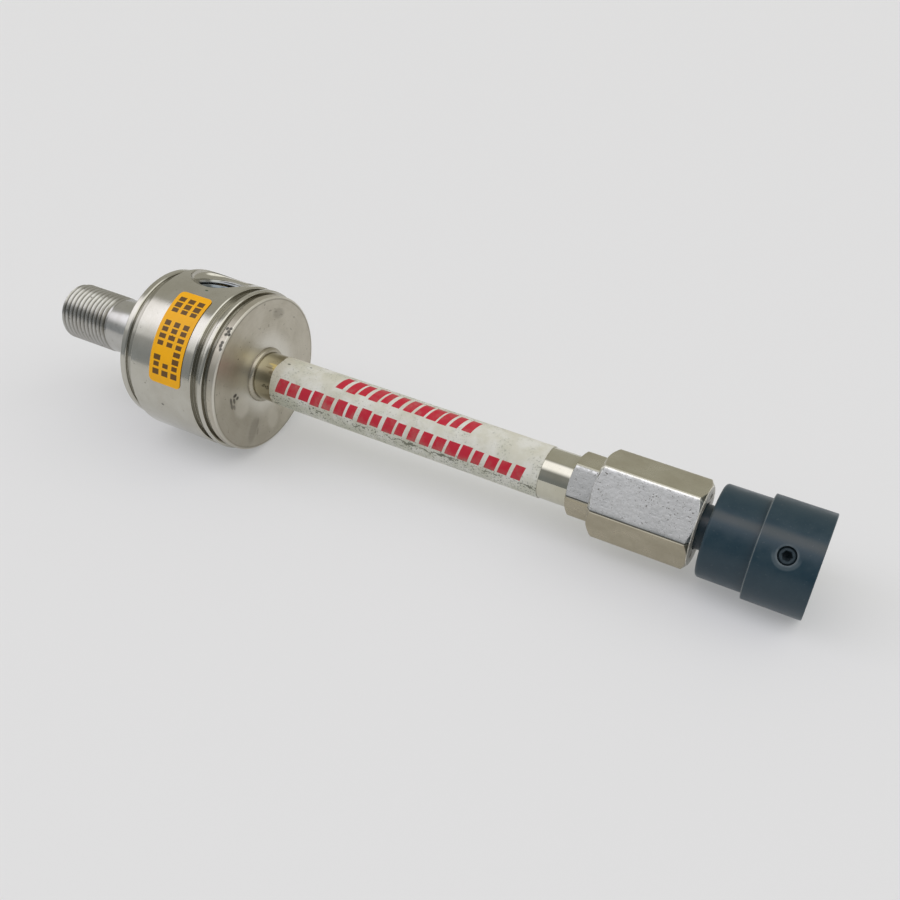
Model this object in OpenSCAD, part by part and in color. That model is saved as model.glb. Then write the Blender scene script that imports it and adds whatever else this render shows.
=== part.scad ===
// Vortex tube: a short round body splits compressed air into a cold stream, which leaves by the
// threaded nipple, and a hot stream, which runs down the long tube and past a cone valve that a
// knob opens and closes. The tube lies on its body and its knob, as it rests on a table.

/* [Body] */
// Diameter of the body
body_d = 43.2; // [41:0.1:48]
// Length of the body between the two caps
body_len = 24.3; // [23.7:0.1:30]
// Length of the broad band that carries the inlet
band_len = 20.9; // [19:0.1:21.2]
// Width of the groove turned beside the band
groove_w = 1.7; // [0.6:0.1:1.8]
// Depth of the turned grooves and of the joints' relief
groove_depth = 1.1; // [0.5:0.1:1.4]
// Chamfer on the turned edges
edge_chamfer = 0.3; // [0.2:0.1:0.5]
// Width of the shoulder turned down at the body's cold end
shoulder_w = 0.6; // [0.2:0.1:1.2]
// Diameter of the air chamber round the generator
chamber_d = 23; // [21:0.5:25]
// Diameter of the screwed sockets for the caps
socket_d = 28; // [27:0.5:31]
// Depth of each cap socket
socket_len = 4.2; // [3.8:0.1:4.2]

/* [Inlet] */
// Distance of the inlet from the body's cold end
inlet_x = 10.5; // [10.2:0.1:11]
// Diameter of the inlet hole
inlet_d = 11.7; // [10:0.1:12]
// Diameter of the counterbore round the inlet
inlet_sink_d = 16.2; // [14:0.1:16.8]
// Depth of the counterbore below the top of the body
inlet_sink_depth = 1.8; // [1.8:0.1:3.4]
// Width of the cone between counterbore and hole
inlet_cone_h = 0.7; // [0.5:0.1:1.2]

/* [Cold end] */
// Step from the body in to the cold cap's rim
cold_step = 1.1; // [0.3:0.1:2]
// Thickness of the cold cap's rim
cold_rim_t = 1.4; // [1.1:0.1:5]
// Width of the groove between the cold cap's rim and the body
cold_gap_w = 1.6; // [0.4:0.1:2]
// Length of the plain neck behind the thread
neck_len = 18.2; // [10:0.1:24]
// Step from the thread in to the plain neck
neck_step = 0.2; // [0.2:0.1:1]
// Length of the nipple's thread
thread_len = 16.3; // [12:0.1:22]
// Outer diameter of the nipple's thread
thread_d = 15.6; // [15.2:0.1:17.2]
// Lead-in chamfer of the nipple
nipple_chamfer = 0.9; // [0.5:0.1:1.2]
// Bore for the cold air
cold_bore_d = 8.6; // [7:0.1:9.6]
// Hole in the orifice disc
orifice_d = 5.6; // [4:0.1:7]
// Thickness of the orifice disc
orifice_t = 1.5; // [1:0.1:2]

/* [Generator] */
// Outer diameter of the generator ring
generator_d = 18; // [17.4:0.1:18.6]
// Length of the generator ring
generator_len = 6; // [5:0.1:6.4]
// Number of tangential nozzle slots
nozzle_n = 6; // [4:1:8]
// Width of a nozzle slot
nozzle_w = 1.2; // [0.8:0.1:1.6]
// Depth of a nozzle slot along the ring
nozzle_depth = 2.2; // [1.4:0.1:3]

/* [Hot tube] */
// Step from the body in to the hot cap's rim
hot_step = 0.7; // [0.4:0.1:1.5]
// Thickness of the hot cap's rim
hot_rim_t = 2.7; // [1.6:0.1:5]
// Chamfer round the hot cap's face
face_chamfer = 0.6; // [0.3:0.1:1]
// Outer diameter of the hot tube
tube_d = 12.7; // [12:0.1:13]
// Wall of the hot tube
tube_wall = 1.15; // [0.8:0.05:1.3]
// Free length of the hot tube between the hot cap and the fitting
tube_free = 89.6; // [60:0.1:140]
// Width of the brazed bead round the tube
bead_w = 1.0; // [0.6:0.1:1.4]
// Length of the vanes that stop the swirl
stopper_len = 12; // [8:0.5:18]
// Thickness of a vane
stopper_t = 0.8; // [0.6:0.1:1.2]

/* [Fitting and valve body] */
// Size of the fitting's hexagon across its flats
fitting_af = 14; // [13.8:0.1:15]
// Length of the fitting's hexagon
fitting_len = 6.4; // [5:0.1:9]
// Turn of the fitting's hexagon about the axis
fitting_phase = 41; // [0:0.5:60]
// Size of the valve body's hexagon across its flats
valve_af = 19; // [18.6:0.1:21]
// Length of the valve body
valve_len = 24.3; // [24:0.1:30]
// Turn of the valve body's hexagon about the axis
valve_phase = 38.3; // [0:0.1:60]
// Length of the chamfer at the hexagons' ends
hex_chamfer = 1.1; // [0.6:0.1:1.6]
// Diameter of the valve chamber
valve_bore_d = 16; // [15.4:0.1:16.4]
// Length of the fitting's screwed spigot
spigot_len = 6.8; // [5:0.1:7]
// Thickness of the valve seat ring
seat_t = 1.5; // [1:0.1:2]
// Bore of the valve seat
seat_d = 9.2; // [9:0.1:9.6]
// Thickness of the web that guides the stem
web_t = 3; // [2.4:0.1:3.4]
// Depth of the recess that the knob's neck runs in
recess_len = 4; // [3.8:0.1:5]
// Number of exhaust holes through the end of the valve body
vent_n = 6; // [4:1:8]
// Diameter of an exhaust hole
vent_d = 1.8; // [1.2:0.1:1.9]
// Diameter of the circle of exhaust holes
vent_pcd = 13.7; // [13.5:0.1:13.9]

/* [Stem and knob] */
// Diameter of the valve stem
stem_d = 6; // [5:0.1:6.4]
// Length of the cone on the stem
cone_len = 4.5; // [3.6:0.1:4.6]
// Diameter of the cone's tip
cone_tip_d = 5.2; // [4:0.1:5.4]
// Diameter of the collar behind the cone
collar_d = 10.8; // [10:0.1:12]
// Length of the collar behind the cone
collar_len = 1.5; // [1:0.1:1.6]
// Axial lead of the valve thread for each turn
stem_lead = 1; // [0.75:0.25:1.25]
// Gap between the valve body and the knob
knob_gap = 2.4; // [2.4:0.1:4]
// Diameter of the knob's neck
knob_neck_d = 10.7; // [10:0.1:11]
// Diameter of the knob's front part
knob_front_d = 22.2; // [20:0.1:24]
// Length of the knob's front part
knob_front_len = 10.9; // [6:0.1:16]
// Rounding of the knob's front edge
knob_round = 0.8; // [0.4:0.1:2.4]
// Diameter of the knob's grip
knob_grip_d = 24.7; // [24:0.1:28]
// Length of the knob's grip
knob_grip_len = 13.8; // [12:0.1:18]
// Distance of the set screw from the knob's end
screw_inset = 7; // [6:0.1:8]
// Diameter of the set screw
screw_d = 4; // [3:0.5:5]
// Socket of the set screw across its flats
screw_af = 2; // [1.5:0.5:2.5]
// Turn of the set screw from the inlet, about the axis
screw_phase = 70; // [0:1:180]

/* [Labels] */
// Length of the wrap on the hot tube
wrap_len = 76; // [30:0.5:80]
// Distance of the wrap from the hot cap
wrap_start = 6.1; // [3:0.1:9]
// Thickness of the labels
label_t = 0.15; // [0.1:0.05:0.3]
// Width of the body's label along the axis
badge_w = 9.8; // [6:0.1:10]
// Distance of the body's label from the body's cold end
badge_x = 7.8; // [2:0.1:8]
// Start of the body's label, turned from the inlet
badge_from = 33; // [31:1:40]
// Angle that the body's label covers
badge_sweep = 67; // [30:1:90]

/* [Pose] */
// Roll of the inlet away from straight up
roll_back = 20.5; // [-30:0.5:30]

/* [Hidden] */
$fn = 96;

// Clearance of pieces that screw or push together
fit = 0.05;
// Flat gap between pieces that lie face to face
seat_gap = 0.05;
// Overlap that cutters take past a face
cut = 1;
// Radius of the O-ring cords
ring_cord = 0.75;
// Room in an O-ring's groove beyond its cord
ring_room = 0.1;
// Radius of the small O-ring's cord on the stem
stem_cord = 0.45;

// Radii
body_r = body_d / 2;
cold_rim_r = body_r - cold_step;
rim_r = body_r - hot_step;
thread_r = thread_d / 2;
neck_r = thread_r - neck_step;
groove_r = body_r - groove_depth;
cold_relief_r = cold_rim_r - groove_depth;
hot_relief_r = rim_r - groove_depth;
chamber_r = chamber_d / 2;
socket_r = socket_d / 2;
plug_r = socket_r - fit;
tube_r = tube_d / 2;
tube_bore_r = tube_r - tube_wall;
generator_r = generator_d / 2;
stem_r = stem_d / 2;
valve_bore_r = valve_bore_d / 2;
recess_r = knob_neck_d / 2 + 0.3;

// Stations along the axis, from the body's cold end towards the knob
hot_gap_w = 0.2;
cold_rim_x = -cold_gap_w - cold_rim_t;
neck_x = cold_rim_x - neck_len;
nipple_x = neck_x - thread_len;
plug_len = socket_len - 0.1;
orifice_x = plug_len + seat_gap;
generator_x = orifice_x + orifice_t + seat_gap;
nose_x = generator_x + generator_len + seat_gap;
hot_socket_x = body_len - socket_len;
rim_x = body_len + hot_gap_w;
face_x = rim_x + hot_rim_t;
fitting_x = face_x + tube_free;
tube_stop = fitting_len * 0.25;
tube_end_x = fitting_x + fitting_len - tube_stop;
valve_x = fitting_x + fitting_len;
valve_gap = 0.05;
spigot_end_x = valve_x + spigot_len;
seat_x = spigot_end_x + seat_gap;
seat_face_x = seat_x + seat_t;
valve_end_x = valve_x + valve_len;
recess_x = valve_end_x - recess_len;
web_x = recess_x - web_t;

// Travel of the valve from the pose shown: turns to close it and to open it
close_turns = 2;
open_turns = 3;
close_travel = close_turns * stem_lead;
open_travel = open_turns * stem_lead;

// The stem's collar stops against the web, a little past the open end of the travel
collar_end_x = web_x - open_travel - 0.5;
cone_x = collar_end_x - collar_len - cone_len;
knob_x = valve_end_x + knob_gap;
knob_neck_x = recess_x + close_travel + 0.5;
grip_x = knob_x + knob_front_len;
knob_end_x = grip_x + knob_grip_len;
grip_r = knob_grip_d / 2;
grip_edge = 0.4;
stem_end_x = knob_end_x - 3.6;
screw_x = knob_end_x - screw_inset;
stem_ring_x = web_x + web_t / 2;

// The part rests on the body's ring and on the knob's end
rest_x = body_len - edge_chamfer;
rest_end_x = knob_end_x - grip_edge;
tilt = atan((body_r - grip_r) / (rest_end_x - rest_x));
drop = rest_x * sin(tilt) + body_r * cos(tilt);
low_x = nipple_x * cos(tilt) - (thread_r - nipple_chamfer) * sin(tilt);
high_x = knob_end_x * cos(tilt) + (grip_r - grip_edge) * sin(tilt);
mid_x = (low_x + high_x) / 2;

// Lays a piece that is built along +X, with the inlet on +Z, down on the table
module lying() {
    translate([-mid_x, 0, drop])
        rotate([0, tilt, 0])
            rotate([-roll_back, 0, 0])
                children();
}

// Turns a piece built along +Z so that it runs along +X
module along_x(phase = 0) {
    rotate([0, 90, 0])
        rotate([0, 0, phase])
            children();
}

// Revolves a profile of [radius, station] points about the axis
module turned(profile) {
    along_x()
        rotate_extrude()
            polygon(profile);
}

// A round bar or cutter along the axis
module bar(r, from, to) {
    translate([from, 0, 0])
        along_x()
            cylinder(r = r, h = to - from);
}

// Turns a piece from the inlet's direction towards the front
module facing(angle) {
    rotate([angle, 0, 0])
        children();
}

// An O-ring round the axis
module o_ring(mean_r, cord, x) {
    translate([x, 0, 0])
        along_x()
            rotate_extrude()
                translate([mean_r, 0])
                    circle(r = cord, $fn = 32);
}

// The groove for an O-ring whose cord touches its floor
module ring_groove(mean_r, cord, x, outer_r) {
    w = 2 * (cord + ring_room);
    floor_r = mean_r - cord - ring_room;
    translate([x - w / 2, 0, 0])
        along_x()
            difference() {
                cylinder(r = outer_r, h = w);
                translate([0, 0, -cut])
                    cylinder(r = floor_r, h = w + 2 * cut);
            }
}

// A hexagonal bar whose ends are turned to a chamfer
module hex_bar(af, from, to, phase, front, back) {
    corner_r = af / sqrt(3);
    flat_r = af / 2;
    slope = (corner_r - flat_r) * 1.05;
    intersection() {
        translate([from, 0, 0])
            along_x(phase)
                cylinder(r = corner_r, h = to - from, $fn = 6);
        turned([
            [0, from],
            [corner_r + 0.05 - slope * front, from],
            [corner_r + 0.05, from + hex_chamfer],
            [corner_r + 0.05, to - hex_chamfer],
            [corner_r + 0.05 - slope * back, to],
            [0, to]
        ]);
    }
}

// Round body with the air chamber, the two cap sockets and the inlet
module body() {
    band_end = band_len;
    ring_x = band_len + groove_w;
    c = edge_chamfer;
    color("silver") lying() difference() {
        turned([
            [chamber_r, 0], [cold_relief_r, 0], [cold_relief_r, shoulder_w], [body_r - c, shoulder_w],
            [body_r, shoulder_w + c], [body_r, band_end - c],
            [body_r - c, band_end], [groove_r, band_end], [groove_r, ring_x],
            [body_r - c, ring_x], [body_r, ring_x + c], [body_r, body_len - c],
            [body_r - c, body_len], [chamber_r, body_len]
        ]);
        bar(socket_r, -cut, socket_len);
        bar(socket_r, hot_socket_x, body_len + cut);
        translate([inlet_x, 0, 0]) {
            cylinder(d = inlet_d, h = body_r + cut);
            translate([0, 0, body_r - inlet_sink_depth])
                cylinder(d = inlet_sink_d, h = inlet_sink_depth + cut);
            translate([0, 0, body_r - inlet_sink_depth - inlet_cone_h])
                cylinder(d1 = inlet_d, d2 = inlet_sink_d, h = inlet_cone_h);
        }
    }
}

// Cap that closes the body's cold end and holds the nipple
module cold_cap() {
    c = edge_chamfer;
    color("gainsboro") lying() difference() {
        turned([
            [0, cold_rim_x], [cold_rim_r - c, cold_rim_x], [cold_rim_r, cold_rim_x + c],
            [cold_rim_r, -cold_gap_w - c], [cold_rim_r - c, -cold_gap_w],
            [cold_relief_r, -cold_gap_w], [cold_relief_r, 0], [plug_r, 0], [plug_r, plug_len], [0, plug_len]
        ]);
        bar(neck_r + fit, cold_rim_x - cut, plug_len + cut);
        ring_groove(plug_r - ring_cord, ring_cord, plug_len / 2, plug_r + cut);
    }
}

// Nipple that the cold air leaves by, pressed into the cold cap
module cold_nipple() {
    bore_r = cold_bore_d / 2;
    color("lightgray") lying()
        turned([
            [bore_r, nipple_x], [thread_r - nipple_chamfer, nipple_x],
            [thread_r, nipple_x + nipple_chamfer], [thread_r, neck_x],
            [neck_r, neck_x + neck_step], [neck_r, plug_len], [bore_r, plug_len]
        ]);
}

module cold_cap_o_ring() {
    color("black") lying()
        o_ring(plug_r - ring_cord, ring_cord, plug_len / 2);
}

// Disc that lets only the cold core of the swirl through
module orifice_disc() {
    color("goldenrod") lying() difference() {
        bar(generator_r, orifice_x, orifice_x + orifice_t);
        bar(orifice_d / 2, orifice_x - cut, orifice_x + orifice_t + cut);
    }
}

// Ring whose slots meet its bore at a tangent and set the air spinning
module vortex_generator() {
    slot_x = generator_x + generator_len - nozzle_depth;
    color("goldenrod") lying() difference() {
        bar(generator_r, generator_x, generator_x + generator_len);
        bar(tube_bore_r, generator_x - cut, generator_x + generator_len + cut);
        for (i = [0 : nozzle_n - 1])
            facing(i * 360 / nozzle_n)
                translate([slot_x, tube_bore_r - nozzle_w, 0])
                    cube([nozzle_depth + cut, nozzle_w, generator_r + cut]);
    }
}

module generator_o_ring() {
    color("black") lying()
        o_ring((generator_r + tube_r) / 2, ring_cord, nose_x + ring_cord + ring_room);
}

// Cap that holds the hot tube, with a nose that clamps the generator
module hot_cap() {
    c = edge_chamfer;
    mean_r = (generator_r + tube_r) / 2;
    color("gainsboro") lying() difference() {
        turned([
            [0, nose_x], [generator_r, nose_x], [generator_r, hot_socket_x + 0.1],
            [plug_r, hot_socket_x + 0.1], [plug_r, body_len], [hot_relief_r, body_len],
            [hot_relief_r, rim_x], [rim_r - c, rim_x], [rim_r, rim_x + c],
            [rim_r, face_x - face_chamfer], [rim_r - face_chamfer, face_x], [0, face_x]
        ]);
        bar(tube_r + fit, nose_x - cut, face_x + cut);
        ring_groove(plug_r - ring_cord, ring_cord, body_len - plug_len / 2, plug_r + cut);
        translate([nose_x - cut, 0, 0])
            along_x()
                difference() {
                    cylinder(r = mean_r + ring_cord + ring_room, h = cut + 2 * (ring_cord + ring_room));
                    translate([0, 0, -cut])
                        cylinder(r = mean_r - ring_cord - ring_room, h = 3 * cut + 2 * ring_cord);
                }
    }
}

module hot_cap_o_ring() {
    color("black") lying()
        o_ring(plug_r - ring_cord, ring_cord, body_len - plug_len / 2);
}

module hot_tube() {
    color("darkgray") lying() difference() {
        bar(tube_r, nose_x, tube_end_x);
        bar(tube_bore_r, nose_x - cut, tube_end_x + cut);
    }
}

// Bead of braze where the tube leaves the hot cap
module tube_bead() {
    inner_r = tube_r + fit;
    color("rosybrown") lying()
        turned(concat(
            [[inner_r, face_x + seat_gap]],
            [for (a = [0 : 15 : 90])
                [inner_r + bead_w * cos(a), face_x + seat_gap + bead_w * sin(a)]]
        ));
}

// Crossed vanes that stop the swirl before the valve
module spin_stopper() {
    stopper_x = tube_end_x - stopper_len;
    color("gold") lying() intersection() {
        bar(tube_bore_r - fit, stopper_x, tube_end_x);
        union()
            for (a = [0, 90])
                facing(a)
                    translate([stopper_x, -stopper_t / 2, -tube_r])
                        cube([stopper_len, stopper_t, tube_d]);
    }
}

// Small hexagon that is brazed to the tube and screws into the valve body
module tube_fitting() {
    through_r = seat_d / 2;
    color("lightgray") lying() difference() {
        union() {
            hex_bar(fitting_af, fitting_x, valve_x - valve_gap, fitting_phase, 1, 0);
            bar(valve_bore_r - fit, valve_x + valve_gap, spigot_end_x);
            bar(fitting_af / 2 - 0.2, fitting_x + hex_chamfer, spigot_end_x - cut);
        }
        bar(tube_r + fit, fitting_x - cut, tube_end_x + seat_gap);
        bar(through_r, tube_end_x, spigot_end_x + cut);
    }
}

module valve_seat() {
    color("peru") lying() difference() {
        bar(valve_bore_r - fit, seat_x, seat_face_x);
        bar(seat_d / 2, seat_x - cut, seat_face_x + cut);
    }
}

// Large hexagon with the valve chamber, the stem's guide and the exhaust holes
module valve_body() {
    color("silver") lying() difference() {
        hex_bar(valve_af, valve_x, valve_end_x, valve_phase, 1, 1);
        bar(valve_bore_r, valve_x - cut, web_x);
        bar(stem_r + fit, web_x - cut, recess_x + cut);
        bar(recess_r, recess_x, valve_end_x + cut);
        for (i = [0 : vent_n - 1])
            facing(valve_phase + i * 360 / vent_n)
                translate([0, 0, vent_pcd / 2])
                    bar(vent_d / 2, web_x - cut, valve_end_x + cut);
    }
}

// Stem with the cone that meets the seat, and a groove for its seal
module valve_stem() {
    color("gray") lying() difference() {
        turned([
            [0, cone_x], [cone_tip_d / 2, cone_x], [collar_d / 2, cone_x + cone_len],
            [collar_d / 2, collar_end_x], [stem_r, collar_end_x], [stem_r, stem_end_x],
            [0, stem_end_x]
        ]);
        ring_groove(stem_r - stem_cord, stem_cord, stem_ring_x, stem_r + cut);
    }
}

module stem_o_ring() {
    color("black") lying()
        o_ring(stem_r - stem_cord, stem_cord, stem_ring_x);
}

// Knob of two diameters with a neck that runs in the valve body's recess
module knob() {
    neck_r = knob_neck_d / 2;
    front_r = knob_front_d / 2;
    e = grip_edge;
    rounding = [for (a = [0 : 15 : 90])
        [front_r - knob_round * (1 - sin(a)), knob_x + knob_round * (1 - cos(a))]];
    color("darkslategray") lying() difference() {
        turned(concat(
            [[0, knob_neck_x], [neck_r, knob_neck_x], [neck_r, knob_x]],
            rounding,
            [
                [front_r, grip_x], [grip_r - e, grip_x], [grip_r, grip_x + e],
                [grip_r, knob_end_x - e], [grip_r - e, knob_end_x], [0, knob_end_x]
            ]
        ));
        bar(stem_r + fit, knob_neck_x - cut, stem_end_x + seat_gap);
        facing(screw_phase)
            translate([screw_x, 0, 0])
                cylinder(d = screw_d + 2 * fit, h = grip_r + cut);
    }
}

// Set screw with a hexagon socket, a little below the knob's surface
module knob_set_screw() {
    screw_from = stem_r + seat_gap;
    screw_to = grip_r - 0.9;
    socket_h = screw_d / 2;
    color("dimgray") lying() facing(screw_phase) translate([screw_x, 0, 0]) difference() {
        translate([0, 0, screw_from])
            cylinder(d = screw_d, h = screw_to - screw_from);
        translate([0, 0, screw_to - socket_h])
            cylinder(d = screw_af * 2 / sqrt(3), h = socket_h + cut, $fn = 6);
    }
}

// Printed wrap round the hot tube
module tube_label() {
    wrap_x = face_x + wrap_start;
    color("whitesmoke") lying() difference() {
        bar(tube_r + 0.02 + label_t, wrap_x, wrap_x + wrap_len);
        bar(tube_r + 0.02, wrap_x - cut, wrap_x + wrap_len + cut);
    }
}

// Label that runs round the front of the body
module body_label() {
    inner_r = body_r + 0.02;
    color("goldenrod") lying()
        translate([badge_x, 0, 0])
            along_x(badge_from + 180)
                rotate_extrude(angle = badge_sweep)
                    translate([inner_r, 0])
                        square([label_t, badge_w]);
}

body();
cold_cap();
cold_nipple();
cold_cap_o_ring();
orifice_disc();
vortex_generator();
generator_o_ring();
hot_cap();
hot_cap_o_ring();
hot_tube();
tube_bead();
spin_stopper();
tube_fitting();
valve_seat();
valve_body();
valve_stem();
stem_o_ring();
knob();
knob_set_screw();
tube_label();
body_label();
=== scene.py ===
import bmesh
import bpy
import numpy as np
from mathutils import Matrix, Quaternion, Vector


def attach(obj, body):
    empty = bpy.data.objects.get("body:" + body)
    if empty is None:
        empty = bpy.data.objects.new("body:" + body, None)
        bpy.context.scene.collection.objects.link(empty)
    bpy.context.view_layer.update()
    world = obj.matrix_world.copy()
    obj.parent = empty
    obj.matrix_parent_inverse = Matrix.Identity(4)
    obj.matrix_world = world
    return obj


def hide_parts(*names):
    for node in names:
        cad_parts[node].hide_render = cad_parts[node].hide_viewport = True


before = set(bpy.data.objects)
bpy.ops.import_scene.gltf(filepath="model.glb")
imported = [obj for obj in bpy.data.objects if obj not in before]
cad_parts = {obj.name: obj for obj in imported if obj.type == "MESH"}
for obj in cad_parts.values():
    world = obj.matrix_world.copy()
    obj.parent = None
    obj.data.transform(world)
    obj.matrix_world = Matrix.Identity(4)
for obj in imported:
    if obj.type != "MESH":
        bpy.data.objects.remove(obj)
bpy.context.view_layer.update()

# The table, the room and the camera.
# The tube was photographed close up, lying on a pale table under wide, even light, from above its knob end.
# The table is a matt sheet that glows faintly, to keep shadows soft; a skylight and a window light the dim room.


def wire(tree, node, sockets):
    """Gives a node's sockets plain values, or links them where the value is another node's output."""
    for key, value in sockets.items():
        if isinstance(value, bpy.types.NodeSocket):
            tree.links.new(value, node.inputs[key])
        else:
            node.inputs[key].default_value = value


def place(tree, kind, settings={}, sockets={}):
    """Adds a shader node with its settings and sockets."""
    node = tree.nodes.new(kind)
    for key, value in settings.items():
        setattr(node, key, value)
    wire(tree, node, sockets)
    return node


def finish(name):
    """Returns a new material, its node tree and its Principled shader."""
    material = bpy.data.materials.new(name)
    material.use_nodes = True
    tree = material.node_tree
    return material, tree, tree.nodes["Principled BSDF"]


TABLE = 3.0
table_mesh = bpy.data.meshes.new("table")
table_mesh.from_pydata(
    [(-TABLE, -TABLE, 0), (TABLE, -TABLE, 0), (TABLE, TABLE, 0), (-TABLE, TABLE, 0)],
    [],
    [(0, 1, 2, 3)],
)
table = bpy.data.objects.new("table", table_mesh)
bpy.context.scene.collection.objects.link(table)
table_paint, tree, shader = finish("table paint")
wire(tree, shader, {"Base Color": (0.53, 0.53, 0.525, 1), "Roughness": 0.6, "Specular IOR Level": 0.2})
wire(tree, shader, {"Emission Color": (0.985, 0.99, 1.0, 1), "Emission Strength": 0.25})
table_mesh.materials.append(table_paint)


def maths(tree, operation, a, b=0.0, c=0.0):
    """One Math node's output."""
    return place(tree, "ShaderNodeMath", {"operation": operation}, {0: a, 1: b, 2: c}).outputs[0]


def times(tree, value, *factors):
    """The product of a value and one or more factors."""
    for factor in factors:
        value = maths(tree, "MULTIPLY", value, factor)
    return value


def measure(tree, operation, a, b=(0, 0, 0)):
    """One Vector Math node's value, such as a length or a dot product."""
    return place(tree, "ShaderNodeVectorMath", {"operation": operation}, {0: a, 1: b}).outputs["Value"]


def split(tree, vector):
    """The X, Y and Z outputs of a vector."""
    return place(tree, "ShaderNodeSeparateXYZ", {}, {0: vector}).outputs


def rise(tree, value, low, high, to=1.0):
    """A smooth step from 0 at low to a height at high; low may be above high."""
    settings = {"interpolation_type": "SMOOTHSTEP"}
    sockets = {"Value": value, "From Min": low, "From Max": high, "To Min": 0.0, "To Max": to}
    if not isinstance(low, bpy.types.NodeSocket) and low > high:
        sockets.update({"From Min": high, "From Max": low, "To Min": to, "To Max": 0.0})
    return place(tree, "ShaderNodeMapRange", settings, sockets).outputs["Result"]


def blend(tree, mask, first, second):
    """The Mix colour node: first where the mask is 0, second where it is 1."""
    first, second = (c if isinstance(c, bpy.types.NodeSocket) else (*c, 1) for c in (first, second))
    return place(tree, "ShaderNodeMix", {"data_type": "RGBA"}, {0: mask, 6: first, 7: second}).outputs[2]


BACK, FRONT_LOW, FRONT_HIGH = (0.52, 0.51, 0.46), (0.37, 0.39, 0.41), (0.52, 0.52, 0.525)
FRONT_DARK, SKYLIGHT, SIDE_LIGHT = (0.12, 0.13, 0.14), (1.68, 1.66, 1.78), (1.02, 1.03, 1.07)
WINDOW, WINDOW_AIM = (1.55, 1.55, 1.52), (0.74, 0.12, 0.66)
room = bpy.data.worlds.new("room")
bpy.context.scene.world = room
room.use_nodes = True
tree = room.node_tree
ray = place(tree, "ShaderNodeTexCoord").outputs["Generated"]
xyz = split(tree, ray)

# The skylight is a strip along the tube's length: a ray's run towards the front over its climb says where it lands.
# It goes on paler towards the cold end, and a window stands beyond the knob end.
run = maths(tree, "DIVIDE", xyz["Y"], maths(tree, "MAXIMUM", xyz["Z"], 0.05))
overhead = times(tree, rise(tree, run, 0.10, -0.12), rise(tree, xyz["Z"], 0.25, 0.5))
strip = times(tree, overhead, rise(tree, run, -1.05, -0.50))
side = times(tree, rise(tree, run, -1.45, -1.10), rise(tree, xyz["X"], -0.35, -0.55), overhead)
aim = measure(tree, "DOT_PRODUCT", ray, WINDOW_AIM)
front = blend(tree, rise(tree, xyz["Z"], 0.15, 0.60), FRONT_LOW, FRONT_HIGH)
front = blend(tree, rise(tree, xyz["X"], -0.60, -0.30, 0.50), front, FRONT_DARK)
light = blend(tree, rise(tree, xyz["Y"], 0.25, -0.25), BACK, front)
light = blend(tree, side, light, SIDE_LIGHT)
light = blend(tree, strip, light, SKYLIGHT)
light = blend(tree, rise(tree, aim, 0.82, 0.94), light, WINDOW)
wire(tree, tree.nodes["Background"], {"Color": light})

camera = bpy.data.objects.new("camera", bpy.data.cameras.new("camera"))
bpy.context.scene.collection.objects.link(camera)
camera.location = (0.113117, -0.16798, 0.155512)
camera.rotation_mode = "QUATERNION"
view_line = Vector((-0.350023, 0.6993, -0.623312))
camera.rotation_quaternion = Quaternion(view_line, np.radians(0.22)) @ view_line.to_track_quat("-Z", "Y")
camera.data.sensor_width = 36.0
camera.data.lens = 38.566
camera.data.shift_x = -0.0604
camera.data.shift_y = 0.0486
camera.data.clip_start = 0.005
camera.data.clip_end = 20.0
bpy.context.scene.camera = camera
bpy.context.scene.view_settings.view_transform = "Standard"

# The round body.
# It is turned from stainless bar: a broad band with the inlet, one groove, and a narrow ring against the hot cap.
# The inlet is spot-faced into the band and threaded down to the air chamber.
ROLL = np.radians(-20.5)
# The whole part rests on two edges, each given as (station, radius).
BODY_REST, KNOB_REST = (24.0, 21.6), (174.2, 12.35)
TILT = np.arctan((BODY_REST[1] - KNOB_REST[1]) / (KNOB_REST[0] - BODY_REST[0]))
LAID_AT = np.array([-68.5756, 0.0, 23.0344])


def laid(points):
    """Points in mm with the axis on X and the inlet on Z, turned to the pose on the table, in metres:
    rolled about X, tilted about Y, then moved."""
    x, y, z = np.moveaxis(np.asarray(points, float), -1, 0)
    y, z = y * np.cos(ROLL) - z * np.sin(ROLL), y * np.sin(ROLL) + z * np.cos(ROLL)
    x, z = x * np.cos(TILT) + z * np.sin(TILT), -x * np.sin(TILT) + z * np.cos(TILT)
    return (np.stack([x, y, z], -1) + LAID_AT) / 1000


def around(x, r, angle):
    """Points at station x and radius r, turned by an angle from the inlet towards the front."""
    x, r, angle = np.broadcast_arrays(x, r, angle)
    return np.stack([x, -r * np.sin(angle), r * np.cos(angle)], -1)


def full_turn(count):
    """Evenly spaced angles round the axis; the last is left to close on the first."""
    return np.linspace(0, 2 * np.pi, count, endpoint=False)


def lathe(profile, angles):
    """A profile of (station, radius) rows carried round the axis."""
    profile = np.asarray(profile, float)
    return around(profile[:, :1], profile[:, 1:], angles[None, :])


def eased(points, ease, steps=5):
    """A polyline whose inner corners become short parabolas: each corner is the control point of a curve that starts
    and ends at most ease away along its two edges, and each curve has a straight lead at both ends."""
    p = np.asarray(points, float)
    before, corner, after = p[:-2], p[1:-1], p[2:]
    back, ahead = before - corner, after - corner
    long_back = np.linalg.norm(back, axis=1, keepdims=True)
    long_ahead = np.linalg.norm(ahead, axis=1, keepdims=True)
    start = corner + back / long_back * np.minimum(ease, long_back * 0.42)
    end = corner + ahead / long_ahead * np.minimum(ease, long_ahead * 0.42)
    t = np.linspace(0, 1, steps)[None, :, None]
    curve = (1 - t) ** 2 * start[:, None] + 2 * t * (1 - t) * corner[:, None] + t**2 * end[:, None]
    lead = (start + (start - corner) * 0.15)[:, None]
    trail = (end + (end - corner) * 0.15)[:, None]
    return np.vstack([p[:1], np.concatenate([lead, curve, trail], 1).reshape(-1, 2), p[-1:]])


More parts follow.
